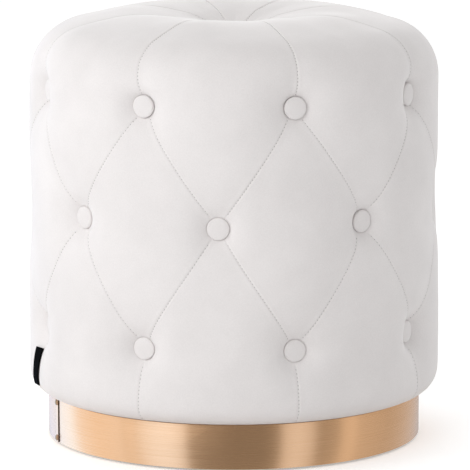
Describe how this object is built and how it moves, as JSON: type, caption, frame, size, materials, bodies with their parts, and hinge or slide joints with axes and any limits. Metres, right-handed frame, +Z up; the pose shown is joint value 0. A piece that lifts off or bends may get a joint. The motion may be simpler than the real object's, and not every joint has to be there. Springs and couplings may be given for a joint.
{
  "type": "button-tufted pouf",
  "caption": "Round straight-sided velvet pouf with a domed seat and diamond button tufting, on a recessed plinth wrapped in a brushed gold metal strip.",
  "frame": {"origin": "on the floor, under the middle of the pouf, level with the feet of the glides", "axes": "+Z up along the pouf's own axis; -Y is the front as pictured and +X the picture's right"},
  "size_m": [0.3976, 0.3976, 0.4225],
  "materials": {
    "velvet": "short-pile velvet, matt with a soft sheen",
    "gold_metal": "brushed along the strip, satin",
    "plywood": "raw",
    "softwood": "raw",
    "hardboard": "raw",
    "steel": "zinc plated",
    "foam": "open-cell foam, stated as fabric because the list has no foam",
    "wadding": "loose fibre",
    "twine": "waxed",
    "dust_cloth": "non-woven, matt",
    "glide_plastic": "matt",
    "tag_cloth": "woven, satin"
  },
  "bodies": {
    "root": {"velvet_cover": "velvet", "button_lower_1": "velvet", "button_lower_2": "velvet", "button_lower_3": "velvet", "button_lower_4": "velvet", "button_lower_5": "velvet", "button_lower_6": "velvet", "button_lower_7": "velvet", "button_lower_8": "velvet", "button_middle_1": "velvet", "button_middle_2": "velvet", "button_middle_3": "velvet", "button_middle_4": "velvet", "button_middle_5": "velvet", "button_middle_6": "velvet", "button_middle_7": "velvet", "button_middle_8": "velvet", "button_upper_1": "velvet", "button_upper_2": "velvet", "button_upper_3": "velvet", "button_upper_4": "velvet", "button_upper_5": "velvet", "button_upper_6": "velvet", "button_upper_7": "velvet", "button_upper_8": "velvet", "button_top": "velvet", "plinth_band": "gold_metal", "band_nails": "gold_metal", "plinth_hoop": "plywood", "plinth_top_ring": "plywood", "plinth_bottom_ring": "plywood", "base_board": "plywood", "top_board": "plywood", "plinth_block_1": "softwood", "plinth_block_2": "softwood", "plinth_block_3": "softwood", "plinth_block_4": "softwood", "frame_post_1": "softwood", "frame_post_2": "softwood", "frame_post_3": "softwood", "frame_post_4": "softwood", "drum_wall": "hardboard", "plinth_screws": "steel", "post_screws": "steel", "cover_staples": "steel", "dust_cover_staples": "steel", "button_eyes": "steel", "twine_toggles": "steel", "side_foam": "foam", "seat_foam": "foam", "wadding": "wadding", "button_twines": "twine", "dust_cover": "dust_cloth", "glide_1": "glide_plastic", "glide_2": "glide_plastic", "glide_3": "glide_plastic", "glide_4": "glide_plastic", "label_tag": "tag_cloth"}
  },
  "joints": []
}
